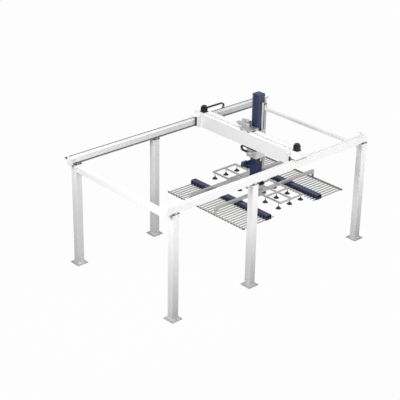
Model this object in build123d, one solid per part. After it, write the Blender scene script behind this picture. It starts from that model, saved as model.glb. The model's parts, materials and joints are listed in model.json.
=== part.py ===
from build123d import *
import math
import os

os.makedirs("parts", exist_ok=True)

# Sizes in millimetres. X runs along the runways, Y along the cross beam, Z is up, the floor is at 0.

# Column grid and floor plates
SPAN = 4000.0
FRONT_BAY = 2750.0
BACK_BAY = 4300.0
COLUMN_SIZE = 200.0
COLUMN_WALL = 8.0
BASE_SIZE = 350.0
BASE_THICKNESS = 20.0
BASE_HOLE_SPACING = 270.0
BASE_HOLE_DIAMETER = 22.0
CAP_SIZE = 220.0
CAP_THICKNESS = 15.0
RUNWAY_BOTTOM = 3040.0

# Runway beams
RUNWAY_WIDTH = 120.0
RUNWAY_HEIGHT = 200.0
RUNWAY_WALL = 8.0
FRONT_OVERHANG = 255.0
BACK_OVERHANG = 110.0
END_CAP_THICKNESS = 6.0
RAIL_END = 110.0
STOP_THICKNESS = 40.0
STOP_HEIGHT = 36.0
STOP_PAD_DIAMETER = 26.0
BUFFER_Y = 1880.0
BUFFER_WIDTH = 44.0

# Tie beams between the end columns
TIE_WIDTH = 100.0
TIE_WALL = 6.0
FRONT_TIE_HEIGHT = 180.0
FRONT_TIE_Z = 2880.0
FRONT_FLANGE_HEIGHT = 200.0
BACK_TIE_HEIGHT = 70.0
BACK_TIE_Z = 2900.0
BACK_FLANGE_HEIGHT = 150.0
FLANGE_WIDTH = 190.0
FLANGE_THICKNESS = 15.0
TIE_BOLT_DIAMETER = 16.0
TIE_BOLT_SPACING_X = 150.0
TIE_BOLT_EDGE_Z = 30.0
BOLT_CLEARANCE = 1.0

# Linear rails: runway, beam top, beam back and mast share one shape in different sizes
RUNNING_GAP = 0.5
RUNWAY_RAIL = (34.0, 35.0)
BEAM_RAIL = (30.0, 30.0)
BACK_RAIL = (26.0, 22.0)
MAST_RAIL = (45.0, 22.0)
ARM_RAIL = (26.0, 22.0)

# Racks and pinions
TOOTH_BACKLASH = 0.35
BRIDGE_MODULE = 6.0
BRIDGE_TEETH = 20
BRIDGE_RACK_BACK = 16.5
BRIDGE_RACK_FACE = 28.0
BRIDGE_RACK_Z = 3066.0
AXIS_MODULE = 5.0
AXIS_TEETH = 18
AXIS_RACK_BACK = 10.75
AXIS_RACK_FACE = 35.0

# Cross beam and its end carriages
BEAM_X = 990.0
BEAM_WIDTH = 330.0
BEAM_HEIGHT = 400.0
BEAM_WALL = 8.0
BEAM_HALF_LENGTH = 1765.0
FRONT_RAIL_OFFSET = -100.0
BACK_RAIL_OFFSET = 140.0
CROSS_RACK_OFFSET = -64.0
BACK_RAIL_Z = 3120.0
END_PLATE = 20.0
MAST_RAIL_START = 2440.0
MAST_RAIL_END = 4205.0
GRIP_PLATE = 12.0
GRIP_MOTOR_Z = 2300.0
END_LENGTH = 500.0
DECK_Z = 3305.0
DECK_THICKNESS = 20.0
DECK_REACH = 2095.0
BEARING_LENGTH = 120.0

# Carriage on the cross beam
SADDLE_Z = 3490.0
SADDLE_THICKNESS = 20.0
SADDLE_HALF_WIDTH = 195.0
BACK_PLATE_GAP = 35.0
BACK_PLATE = 20.0
HOUSING_BOTTOM = 2570.0
HOUSING_TOP = 3400.0
COVER_DEPTH = 45.0
CHEEK_INNER = 165.0
CHEEK = 20.0

# Mast
MAST_X = 1365.0
MAST_SIZE = 250.0
MAST_WALL = 8.0
MAST_BOTTOM = 1760.0
MAST_TOP = 4455.0
PLATE = 20.0
MAST_RAIL_X = MAST_X + 45.0
MAST_RACK_Y = 78.0
LIFT_AXIS_Z = 3590.0

# Gripper hung on the mast
FRONT_ARM_Y = -430.0
BACK_ARM_Y = 622.0
ARM_SIZE = 80.0
ARM_BOTTOM = 1640.0
ARM_HALF_LENGTH = 1975.0
GUIDE_X = 1013.0
GUIDE_WIDTH = 168.0
GUIDE_HEIGHT = 78.0
GUIDE_BOTTOM = 1518.0
GUIDE_CENTRE_Y = -20.0
GUIDE_HALF_LENGTH = 1565.0
HANGER_LENGTH = 120.0

# Combs that slide under the sheet
TINE_COUNT = 28
TINE_PITCH = 113.0
TINE_WIDTH = 30.0
TINE_HEIGHT = 24.0
TINE_Z = 1474.0
TINE_TIP_X = 790.0
TINE_GAP = 1.0
COMB_X = 1964.0
COMB_BAR = 32.0
COMB_BAR_HALF_LENGTH = 1557.0
LEG_SIZE = 60.0
SHOE_LENGTH = 100.0

# Suction frame and cups
SUCTION_X = 443.0
SUCTION_ROWS = (-1303.0, -782.0, -261.0, 261.0, 782.0, 1303.0)
SUCTION_CENTRE_Y = -75.0
FRAME_BAR = 40.0
FRAME_RUNG_Y = (-882.0, 657.0)
STEM_DIAMETER = 20.0
STEM_GAP = 0.05
BUSH_DIAMETER = 32.0
CUP_DIAMETER = 164.0
CUP_HEIGHT = 96.0
CUP_LIP_Z = 1552.0
CUP_LIFT = 30.0

# Cable tray and energy chains
TRAY_WIDTH = 100.0
TRAY_FLOOR_Z = 3188.0
TRAY_LIP = 28.0
TRAY_SHEET = 3.0
CHAIN_WIDTH = 60.0
CHAIN_HEIGHT = 36.0
CHAIN_BEND_RADIUS = 96.0
HUNG_CHAIN_WIDTH = 70.0
HUNG_CHAIN_HEIGHT = 40.0
HUNG_CHAIN_RADIUS = 72.0
HUNG_CHAIN_UPPER = 530.0
HUNG_CHAIN_LOWER = 200.0
HUNG_CHAIN_START = -480.0
HUNG_CHAIN_TOP = 3022.0

# Derived positions
LENGTH = FRONT_OVERHANG + FRONT_BAY + BACK_BAY + BASE_SIZE / 2
FRONT_X = FRONT_OVERHANG - LENGTH / 2
MIDDLE_X = FRONT_X + FRONT_BAY
BACK_X = MIDDLE_X + BACK_BAY
COLUMN_LINES = (FRONT_X, MIDDLE_X, BACK_X)
SIDES = (-1, 1)
SIDE_Y = SPAN / 2
COLUMN_TOP = RUNWAY_BOTTOM - CAP_THICKNESS
RUNWAY_TOP = RUNWAY_BOTTOM + RUNWAY_HEIGHT
RUNWAY_START = FRONT_X - FRONT_OVERHANG
RUNWAY_END = BACK_X + BACK_OVERHANG
RUNWAY_INNER_Y = SIDE_Y - RUNWAY_WIDTH / 2
BRIDGE_PITCH_RADIUS = BRIDGE_MODULE * BRIDGE_TEETH / 2
BRIDGE_PITCH_Y = RUNWAY_INNER_Y - BRIDGE_RACK_BACK - 1.25 * BRIDGE_MODULE
BRIDGE_AXIS_Y = BRIDGE_PITCH_Y - BRIDGE_PITCH_RADIUS
BRIDGE_AXIS_X = BEAM_X + 30.0
AXIS_PITCH_RADIUS = AXIS_MODULE * AXIS_TEETH / 2
AXIS_RACK_DEPTH = AXIS_RACK_BACK + 1.25 * AXIS_MODULE
BEAM_TOP = RUNWAY_BOTTOM + BEAM_HEIGHT
BEAM_FRONT = BEAM_X - BEAM_WIDTH / 2
BEAM_BACK = BEAM_X + BEAM_WIDTH / 2
BACK_PLATE_X = BEAM_BACK + BACK_PLATE_GAP
MAST_FRONT = MAST_X - MAST_SIZE / 2
CROSS_RACK_X = BEAM_X + CROSS_RACK_OFFSET
CROSS_AXIS_X = CROSS_RACK_X + AXIS_RACK_DEPTH + AXIS_PITCH_RADIUS
CROSS_AXIS_Y = 60.0
HUNG_CHAIN_X = BEAM_FRONT + 60
HUNG_CHAIN_Z = HUNG_CHAIN_TOP - HUNG_CHAIN_HEIGHT - 2 * HUNG_CHAIN_RADIUS
LIFT_AXIS_X = MAST_FRONT - AXIS_RACK_DEPTH - AXIS_PITCH_RADIUS
ARM_TOP = ARM_BOTTOM + ARM_SIZE
FRAME_TOP = ARM_TOP + FRAME_BAR


def block(x0, x1, y0, y1, z0, z1):
    """Box between two corners."""
    centre = Pos((x0 + x1) / 2, (y0 + y1) / 2, (z0 + z1) / 2)
    return centre * Box(abs(x1 - x0), abs(y1 - y0), abs(z1 - z0))


def rod(x, y, z0, z1, diameter):
    """Upright cylinder between two heights."""
    return Pos(x, y, (z0 + z1) / 2) * Cylinder(diameter / 2, z1 - z0)


def rod_y(x, y0, y1, z, diameter):
    """Cylinder lying along Y."""
    return Pos(x, (y0 + y1) / 2, z) * Rot(90, 0, 0) * Cylinder(diameter / 2, abs(y1 - y0))


def rod_x(x0, x1, y, z, diameter):
    """Cylinder lying along X."""
    return Pos((x0 + x1) / 2, y, z) * Rot(0, 90, 0) * Cylinder(diameter / 2, abs(x1 - x0))


def hexagon(x, y, z0, z1, across):
    """Upright hexagonal prism, used for nuts and bolt heads."""
    outline = RegularPolygon(radius=across / math.sqrt(3), side_count=6)
    return Pos(x, y, z0) * extrude(outline, z1 - z0)


def save(node, solids):
    """Write the solids of one sub-part to its STEP file."""
    flat = []
    for item in solids:
        flat.extend(item.solids())
    export_step(Compound(children=flat), f"parts/{node}.step")


def rail_profile(width, height, grow=0.0):
    """Cross-section of a linear rail: foot, waist and head, foot on the X axis, head towards +Y."""
    foot = width / 2 + grow
    waist = width / 2 - 0.15 * width + grow
    low = 0.42 * height + grow
    high = 0.66 * height - grow
    points = [(-foot, 0), (foot, 0), (foot, low), (waist, low + 2), (waist, high - 2), (foot, high),
              (foot, height + grow), (-foot, height + grow), (-foot, high), (-waist, high - 2),
              (-waist, low + 2), (-foot, low)]
    return make_face(Polyline(*points, close=True))


def rail(plane, length, size):
    """Rail of the given length along the normal of its plane, whose origin is one end of its foot."""
    return extrude(plane * rail_profile(*size), length)


def bearing(plane, length, size, block_width, block_height, lift):
    """Bearing shoe that hugs a rail, placed like the rail."""
    outer = Pos(0, (lift + block_height) / 2) * Rectangle(block_width, block_height - lift)
    cut = rail_profile(size[0], size[1], RUNNING_GAP)
    return extrude(plane * outer, length) - extrude(plane * cut, length)


def rack(module, back, face, before, after):
    """Straight rack along X with a tooth centred on X 0, pitch line on Y 0, teeth towards +Y."""
    pitch = math.pi * module
    slope = math.tan(math.radians(20))
    root = 1.25 * module
    half = pitch / 4 - TOOTH_BACKLASH / 2
    tip_half = half - module * slope
    root_half = half + root * slope
    first = -math.floor((before - root_half) / pitch)
    last = math.floor((after - root_half) / pitch)
    points = [(-before, -root - back), (-before, -root)]
    for index in range(first, last + 1):
        centre = index * pitch
        points += [(centre - root_half, -root), (centre - tip_half, module),
                   (centre + tip_half, module), (centre + root_half, -root)]
    points += [(after, -root), (after, -root - back)]
    return extrude(make_face(Polyline(*points, close=True)), face)


def pinion(module, teeth, face, gap_angle, across_flats):
    """Spur pinion on the Z axis with a tooth gap centred on the given angle and a hexagonal bore."""
    pitch_radius = module * teeth / 2
    base_radius = pitch_radius * math.cos(math.radians(20))
    tip_radius = pitch_radius + module
    root_radius = pitch_radius - 1.25 * module
    involute_at_pitch = math.tan(math.radians(20)) - math.radians(20)
    half_at_pitch = math.pi / (2 * teeth) - TOOTH_BACKLASH / (2 * pitch_radius)
    start = max(base_radius, root_radius)
    radii = [start + (tip_radius - start) * step / 4 for step in range(5)]
    flank = [(root_radius, half_at_pitch + involute_at_pitch)]
    for radius in radii:
        pressure = math.acos(min(1.0, base_radius / radius))
        half = half_at_pitch + involute_at_pitch - (math.tan(pressure) - pressure)
        flank.append((radius, half))
    points = []
    for index in range(teeth):
        centre = math.radians(gap_angle) + math.pi / teeth + index * 2 * math.pi / teeth
        for radius, half in flank:
            points.append((radius * math.cos(centre - half), radius * math.sin(centre - half)))
        for radius, half in reversed(flank):
            points.append((radius * math.cos(centre + half), radius * math.sin(centre + half)))
    body = extrude(make_face(Polyline(*points, close=True)), face)
    return body - hexagon(0, 0, 0, face, across_flats)


def tube_x(x0, x1, y, z0, width, height, wall):
    """Rectangular tube along X."""
    outer = block(x0, x1, y - width / 2, y + width / 2, z0, z0 + height)
    inner = block(x0, x1, y - width / 2 + wall, y + width / 2 - wall, z0 + wall, z0 + height - wall)
    return outer - inner


def tube_y(x, y0, y1, z0, width, height, wall):
    """Rectangular tube along Y."""
    outer = block(x - width / 2, x + width / 2, y0, y1, z0, z0 + height)
    inner = block(x - width / 2 + wall, x + width / 2 - wall, y0, y1, z0 + wall, z0 + height - wall)
    return outer - inner


def tie_sizes(line_x):
    """Centre height, beam height and flange height of the tie on one column line."""
    if line_x == FRONT_X:
        return FRONT_TIE_Z, FRONT_TIE_HEIGHT, FRONT_FLANGE_HEIGHT
    return BACK_TIE_Z, BACK_TIE_HEIGHT, BACK_FLANGE_HEIGHT


def tie_bolt_points(line_x):
    """Centres of the four bolts of one tie flange, as X and Z."""
    centre, _, flange = tie_sizes(line_x)
    reach = flange / 2 - TIE_BOLT_EDGE_Z
    return [(line_x + sx * TIE_BOLT_SPACING_X / 2, centre + sz * reach) for sx in SIDES for sz in SIDES]


def make_columns():
    solids = []
    hole = TIE_BOLT_DIAMETER + 2 * BOLT_CLEARANCE
    for line_x in COLUMN_LINES:
        for side in SIDES:
            y = side * SIDE_Y
            half = COLUMN_SIZE / 2
            inner = half - COLUMN_WALL
            shaft = block(line_x - half, line_x + half, y - half, y + half, BASE_THICKNESS, COLUMN_TOP)
            shaft = fillet(shaft.edges().filter_by(Axis.Z), 12)
            shaft -= block(line_x - inner, line_x + inner, y - inner, y + inner, BASE_THICKNESS, COLUMN_TOP)
            if line_x != MIDDLE_X:
                for x, z in tie_bolt_points(line_x):
                    shaft -= rod_y(x, y - half - 1, y + half + 1, z, hole)
            solids.append(shaft)
    save("columns", solids)


def make_base_plates():
    solids = []
    offset = BASE_HOLE_SPACING / 2
    for line_x in COLUMN_LINES:
        for side in SIDES:
            y = side * SIDE_Y
            half = BASE_SIZE / 2
            plate = block(line_x - half, line_x + half, y - half, y + half, 0, BASE_THICKNESS)
            for sx in SIDES:
                for sy in SIDES:
                    plate -= rod(line_x + sx * offset, y + sy * offset, -1, BASE_THICKNESS + 1,
                                 BASE_HOLE_DIAMETER)
            solids.append(plate)
    save("base_plates", solids)


def make_cap_plates():
    half = CAP_SIZE / 2
    solids = [block(x - half, x + half, s * SIDE_Y - half, s * SIDE_Y + half, COLUMN_TOP, RUNWAY_BOTTOM)
              for x in COLUMN_LINES for s in SIDES]
    save("cap_plates", solids)


def make_runways():
    x0 = RUNWAY_START + END_CAP_THICKNESS
    x1 = RUNWAY_END - END_CAP_THICKNESS
    save("runways", [tube_x(x0, x1, side * SIDE_Y, RUNWAY_BOTTOM, RUNWAY_WIDTH, RUNWAY_HEIGHT, RUNWAY_WALL)
                     for side in SIDES])
    half = RUNWAY_WIDTH / 2
    caps = []
    for side in SIDES:
        for x0, x1 in ((RUNWAY_START, RUNWAY_START + END_CAP_THICKNESS),
                       (RUNWAY_END - END_CAP_THICKNESS, RUNWAY_END)):
            caps.append(block(x0, x1, side * SIDE_Y - half, side * SIDE_Y + half, RUNWAY_BOTTOM, RUNWAY_TOP))
    save("runway_end_caps", caps)


def make_runway_clamps():
    """Shoes beside the runway on every cap plate; returns their bolt heads."""
    clamps = []
    bolts = []
    for line_x in COLUMN_LINES:
        for side in SIDES:
            for face in SIDES:
                inner = side * SIDE_Y + face * RUNWAY_WIDTH / 2
                outer = inner + face * 44
                middle = (inner + outer) / 2
                clamps.append(block(line_x - 45, line_x + 45, inner, outer,
                                    RUNWAY_BOTTOM, RUNWAY_BOTTOM + 12))
                for dx in (-25, 25):
                    bolts.append(hexagon(line_x + dx, middle, RUNWAY_BOTTOM + 12, RUNWAY_BOTTOM + 20, 18))
    save("runway_clamps", clamps)
    return bolts


def make_runway_rails():
    solids = []
    for side in SIDES:
        plane = Plane(origin=(RUNWAY_START + RAIL_END, side * SIDE_Y, RUNWAY_TOP), x_dir=(0, 1, 0),
                      z_dir=(1, 0, 0))
        solids.append(rail(plane, RUNWAY_END - RUNWAY_START - 2 * RAIL_END, RUNWAY_RAIL))
    save("runway_rails", solids)


def make_runway_racks():
    """Racks low on the inner faces, with a tooth opposite each pinion of the bridge."""
    before = BRIDGE_AXIS_X - RUNWAY_START - 90
    after = RUNWAY_END - BRIDGE_AXIS_X - 90
    left = rack(BRIDGE_MODULE, BRIDGE_RACK_BACK, BRIDGE_RACK_FACE, after, before)
    right = rack(BRIDGE_MODULE, BRIDGE_RACK_BACK, BRIDGE_RACK_FACE, before, after)
    save("runway_racks", [
        Pos(BRIDGE_AXIS_X, BRIDGE_PITCH_Y, BRIDGE_RACK_Z) * Rot(0, 0, 180) * left,
        Pos(BRIDGE_AXIS_X, -BRIDGE_PITCH_Y, BRIDGE_RACK_Z) * right])


def make_end_stops():
    """Low stop across each runway end, reaching inwards to the buffer of the carriage, with a pad."""
    stops = []
    pads = []
    for side in SIDES:
        for x, inward in ((RUNWAY_START, 1), (RUNWAY_END, -1)):
            face = x + inward * STOP_THICKNESS
            stops.append(block(x, face, side * (BUFFER_Y - 60), side * (SIDE_Y + 50),
                               RUNWAY_TOP, RUNWAY_TOP + STOP_HEIGHT))
            pads.append(rod_x(face, face + inward * 25, side * BUFFER_Y, RUNWAY_TOP + STOP_HEIGHT / 2,
                              STOP_PAD_DIAMETER))
    save("end_stops", stops)
    save("end_stop_pads", pads)


def make_ties():
    """Tie beams with welded end flanges; returns the bolts through the columns."""
    inner_face = SIDE_Y - COLUMN_SIZE / 2
    outer_face = SIDE_Y + COLUMN_SIZE / 2
    beams = []
    bolts = []
    hole = TIE_BOLT_DIAMETER + 2 * BOLT_CLEARANCE
    for line_x in (FRONT_X, BACK_X):
        reach = inner_face - FLANGE_THICKNESS
        centre, height, flange = tie_sizes(line_x)
        beam = tube_y(line_x, -reach, reach, centre - height / 2, TIE_WIDTH, height, TIE_WALL)
        for side in SIDES:
            plate = block(line_x - FLANGE_WIDTH / 2, line_x + FLANGE_WIDTH / 2,
                          side * reach, side * inner_face,
                          centre - flange / 2, centre + flange / 2)
            for x, z in tie_bolt_points(line_x):
                plate -= rod_y(x, side * (reach - 1), side * (inner_face + 1), z, hole)
                bolt = rod_y(x, side * (reach - 16), side * (outer_face + 6), z, TIE_BOLT_DIAMETER)
                for y in (outer_face, reach - 12):
                    nut = Rot(90, 0, 0) * hexagon(0, 0, -6, 6, 24)
                    bolt += Pos(x, side * (y + 6), z) * nut
                bolts.append(bolt)
            beam += plate
        beams.append(beam)
    save("tie_beams", beams)
    return bolts


def make_tray():
    """Cable tray along the outer face of the left runway, on brackets."""
    inner = SIDE_Y + RUNWAY_WIDTH / 2 + 5
    outer = inner + TRAY_WIDTH
    top = TRAY_FLOOR_Z + TRAY_LIP
    x0 = RUNWAY_START
    x1 = RUNWAY_END - 40
    floor = TRAY_FLOOR_Z + TRAY_SHEET
    save("cable_tray", [block(x0, x1, inner, outer, TRAY_FLOOR_Z, floor),
                        block(x0, x1, inner, inner + TRAY_SHEET, floor, top),
                        block(x0, x1, outer - TRAY_SHEET, outer, floor, top)])
    brackets = []
    step = (x1 - x0 - 300) / 8
    for index in range(9):
        x = x0 + 150 + index * step
        arm = block(x - 20, x + 20, inner - 5, outer - 8, TRAY_FLOOR_Z - 6, TRAY_FLOOR_Z)
        arm += block(x - 20, x + 20, inner - 5, inner + 1, TRAY_FLOOR_Z - 60, TRAY_FLOOR_Z)
        brackets.append(arm)
    save("tray_brackets", brackets)


def make_cross_beam():
    beam = tube_y(BEAM_X, -BEAM_HALF_LENGTH, BEAM_HALF_LENGTH, RUNWAY_BOTTOM, BEAM_WIDTH, BEAM_HEIGHT,
                  BEAM_WALL)
    save("cross_beam", [beam])
    rails = []
    for offset in (FRONT_RAIL_OFFSET, BACK_RAIL_OFFSET):
        plane = Plane(origin=(BEAM_X + offset, -1700, BEAM_TOP), x_dir=(-1, 0, 0), z_dir=(0, 1, 0))
        rails.append(rail(plane, 3400, BEAM_RAIL))
    plane = Plane(origin=(BEAM_BACK, -1700, BACK_RAIL_Z), x_dir=(0, 0, 1), z_dir=(0, 1, 0))
    rails.append(rail(plane, 3400, BACK_RAIL))
    save("beam_rails", rails)
    teeth = rack(AXIS_MODULE, AXIS_RACK_BACK, AXIS_RACK_FACE, 1690 - CROSS_AXIS_Y, 1690 + CROSS_AXIS_Y)
    pitch_x = CROSS_AXIS_X - AXIS_PITCH_RADIUS
    save("beam_rack", [Pos(pitch_x, CROSS_AXIS_Y, BEAM_TOP) * Rot(0, 0, -90) * teeth])


def make_end_carriages():
    """Welded carriage at each end of the cross beam, reaching over the runway."""
    frames = []
    shoes = []
    pads = []
    x0 = BEAM_X - END_LENGTH / 2
    x1 = BEAM_X + END_LENGTH / 2
    inner = BEAM_HALF_LENGTH
    outer = inner + END_PLATE
    deck_top = DECK_Z + DECK_THICKNESS
    for side in SIDES:
        frames.append(block(x0, x1, side * inner, side * outer, RUNWAY_BOTTOM + 10, BEAM_TOP))
        deck = block(x0, x1, side * outer, side * DECK_REACH, DECK_Z, deck_top)
        deck -= rod(BRIDGE_AXIS_X, side * BRIDGE_AXIS_Y, DECK_Z - 1, deck_top + 1, 60)
        frames.append(deck)
        edge = BUFFER_Y + BUFFER_WIDTH / 2
        for x in (x0, x1 - 12):
            frames.append(block(x, x + 12, side * outer, side * edge, RUNWAY_BOTTOM + 22, DECK_Z))
            frames.append(block(x, x + 12, side * outer, side * edge, deck_top, deck_top + 20))
        for x in (x0 + 20, x1 - 20 - BEARING_LENGTH):
            plane = Plane(origin=(x, side * SIDE_Y, RUNWAY_TOP), x_dir=(0, 1, 0), z_dir=(1, 0, 0))
            shoes.append(bearing(plane, BEARING_LENGTH, RUNWAY_RAIL, 76, DECK_Z - RUNWAY_TOP, 7))
        for x, out in ((x0, -1), (x1, 1)):
            pads.append(block(x, x + out * 26, side * (BUFFER_Y - BUFFER_WIDTH / 2),
                              side * (BUFFER_Y + BUFFER_WIDTH / 2), RUNWAY_BOTTOM + 22, deck_top + 20))
    save("end_carriages", frames)
    save("runway_bearings", shoes)
    save("carriage_buffers", pads)


def servo(size, length, cap):
    """Servo motor standing on its flange at the origin, pointing up, with a round end cap."""
    body = Pos(0, 0, length / 2 + 6) * Box(size, size, length - 12)
    body = chamfer(body.edges().filter_by(Axis.Z), size * 0.12)
    flange = Pos(0, 0, 6) * Box(size + 14, size + 14, 12)
    end = Pos(0, 0, length + cap / 2) * Cylinder(size * 0.46, cap)
    end = chamfer(end.edges().sort_by(Axis.Z)[-1], 5)
    plug = Pos(size / 2 + 10, 0, length - 36) * Box(22, 34, 44)
    return body + flange + end + plug


def gearbox(size, height):
    """Planetary gearbox with a round ring gear between two square flanges."""
    ring = Pos(0, 0, height / 2) * Cylinder(size * 0.48, height)
    low = Pos(0, 0, 8) * Box(size, size, 16)
    high = Pos(0, 0, height - 8) * Box(size, size, 16)
    return ring + low + high


def make_bridge_drives():
    """Gear housing and upright servo motor on each end carriage, pinion and shaft below."""
    deck_top = DECK_Z + DECK_THICKNESS
    boxes = []
    motors = []
    inner = BEAM_HALF_LENGTH + END_PLATE
    for side in SIDES:
        y = side * BRIDGE_AXIS_Y
        box = block(BRIDGE_AXIS_X - 155, BRIDGE_AXIS_X + 120, side * inner, side * DECK_REACH,
                    deck_top, BEAM_TOP)
        box = chamfer(box.edges().filter_by(Axis.Z), 10)
        boxes.append(box - rod(BRIDGE_AXIS_X, y, deck_top - 1, deck_top + 50, 42))
        motors.append(Pos(BRIDGE_AXIS_X, y, BEAM_TOP) * servo(162, 145, 42))
    save("bridge_gearboxes", boxes)
    save("bridge_motors", motors)
    low = BRIDGE_RACK_Z - 3
    high = BRIDGE_RACK_Z + BRIDGE_RACK_FACE + 3
    for side, name in ((1, "left"), (-1, "right")):
        y = side * BRIDGE_AXIS_Y
        wheel = pinion(BRIDGE_MODULE, BRIDGE_TEETH, high - low, 90 * side, 40)
        save(f"bridge_pinion_{name}", [Pos(BRIDGE_AXIS_X, y, low) * wheel])
        shaft = hexagon(BRIDGE_AXIS_X, y, low, high, 40)
        shaft += rod(BRIDGE_AXIS_X, y, high, high + 15, 56)
        shaft += rod(BRIDGE_AXIS_X, y, high + 15, deck_top + 45, 40)
        shaft += rod(BRIDGE_AXIS_X, y, low - 10, low, 56)
        save(f"bridge_shaft_{name}", [shaft])


def chain_loop(width, height, radius, upper, lower):
    """Energy chain in the XZ plane: upper run along +X from X 0, bend, lower run back along -X.

    The lower run lies on Z 0 and the width is centred on Y 0.
    """
    outer = radius + height / 2
    inner = radius - height / 2
    top = 2 * radius
    ring = Pos(upper, 0, outer) * Rot(90, 0, 0) * (Cylinder(outer, width) - Cylinder(inner, width))
    ring &= block(upper, upper + outer + 5, -width / 2, width / 2, -5, 2 * outer + 5)
    run = block(0, upper, -width / 2, width / 2, top, top + height)
    back = block(upper - lower, upper, -width / 2, width / 2, 0, height)
    pitch = 50.0
    for index in range(1, int(upper / pitch)):
        x = index * pitch
        run -= block(x - 1.5, x + 1.5, -width / 2, width / 2, top + height - 3, top + height + 1)
    for index in range(1, int(lower / pitch)):
        x = upper - index * pitch
        back -= block(x - 1.5, x + 1.5, -width / 2, width / 2, -1, 3)
    return [run, ring, back]


def make_bridge_chain():
    """Chain loop above the tray and the bracket that carries its upper end."""
    y = SIDE_Y + RUNWAY_WIDTH / 2 + 5 + TRAY_WIDTH / 2
    floor = TRAY_FLOOR_Z + TRAY_SHEET + 3
    start = BEAM_X + END_LENGTH / 2 + 30
    upper = 2052 - start - CHAIN_BEND_RADIUS - CHAIN_HEIGHT / 2
    loop = chain_loop(CHAIN_WIDTH, CHAIN_HEIGHT, CHAIN_BEND_RADIUS, upper, 420)
    save("bridge_chain", [Pos(start, y, floor) * piece for piece in loop])
    top = floor + 2 * CHAIN_BEND_RADIUS
    edge = BEAM_X + END_LENGTH / 2
    deck_top = DECK_Z + DECK_THICKNESS
    arm = block(edge - 92, edge - 12, DECK_REACH - 60, y + 30, deck_top, deck_top + 8)
    arm += block(edge - 92, edge - 12, y - 30, y + 30, deck_top, top + CHAIN_HEIGHT)
    arm += block(edge - 12, start, y - 30, y + 30, top, top + CHAIN_HEIGHT)
    save("chain_bracket", [arm])


def make_carriage():
    """Saddle over the beam, back plate and the two cheeks that hold the mast."""
    x0 = BEAM_FRONT + 20
    x1 = BACK_PLATE_X + BACK_PLATE
    saddle = block(x0, x1, -SADDLE_HALF_WIDTH, SADDLE_HALF_WIDTH, SADDLE_Z, SADDLE_Z + SADDLE_THICKNESS)
    saddle -= rod(CROSS_AXIS_X, CROSS_AXIS_Y, SADDLE_Z - 1, SADDLE_Z + SADDLE_THICKNESS + 1, 50)
    save("saddle_plate", [saddle])
    edge = CHEEK_INNER + CHEEK
    plate = block(BACK_PLATE_X, x1, -SADDLE_HALF_WIDTH, SADDLE_HALF_WIDTH, 3060, SADDLE_Z)
    plate += block(BACK_PLATE_X, x1, -edge, edge, HOUSING_BOTTOM, 3060)
    save("back_plate", [plate])
    far = MAST_X + MAST_SIZE / 2 + 10
    cheeks = [block(x1, far, side * CHEEK_INNER, side * edge, HOUSING_BOTTOM, HOUSING_TOP) for side in SIDES]
    save("mast_cheeks", cheeks)
    front = BACK_PLATE_X - COVER_DEPTH
    lower = block(front, BACK_PLATE_X, -edge, edge, HOUSING_BOTTOM + 5, HOUSING_BOTTOM + 275)
    lower -= block(front + 8, BACK_PLATE_X + 1, -edge + 8, edge - 8, HOUSING_BOTTOM + 13,
                   HOUSING_BOTTOM + 267)
    end = HUNG_CHAIN_START + HUNG_CHAIN_UPPER - HUNG_CHAIN_LOWER
    x = HUNG_CHAIN_X
    width = HUNG_CHAIN_WIDTH / 2
    bracket = block(x - width, front, end - 60, end, HUNG_CHAIN_Z - 30, HUNG_CHAIN_Z)
    clip = block(x - width, x + width, end - 60, end, HUNG_CHAIN_Z, HUNG_CHAIN_Z + HUNG_CHAIN_HEIGHT)
    save("lower_cover", [lower, bracket, clip])
    shoes = []
    for offset in (FRONT_RAIL_OFFSET, BACK_RAIL_OFFSET):
        for y in (-190, 90):
            plane = Plane(origin=(BEAM_X + offset, y, BEAM_TOP), x_dir=(-1, 0, 0), z_dir=(0, 1, 0))
            shoes.append(bearing(plane, 100, BEAM_RAIL, 64, SADDLE_Z - BEAM_TOP, 7))
    for y in (-185, 85):
        plane = Plane(origin=(BEAM_BACK, y, BACK_RAIL_Z), x_dir=(0, 0, 1), z_dir=(0, 1, 0))
        shoes.append(bearing(plane, 100, BACK_RAIL, 60, BACK_PLATE_GAP, 6))
    for side in SIDES:
        for z in (HOUSING_BOTTOM + 60, HOUSING_TOP - 180):
            plane = Plane(origin=(MAST_RAIL_X, side * MAST_SIZE / 2, z), x_dir=(side, 0, 0), z_dir=(0, 0, 1))
            shoes.append(bearing(plane, 120, MAST_RAIL, 86, CHEEK_INNER - MAST_SIZE / 2, 5))
    save("carriage_bearings", shoes)


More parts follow.
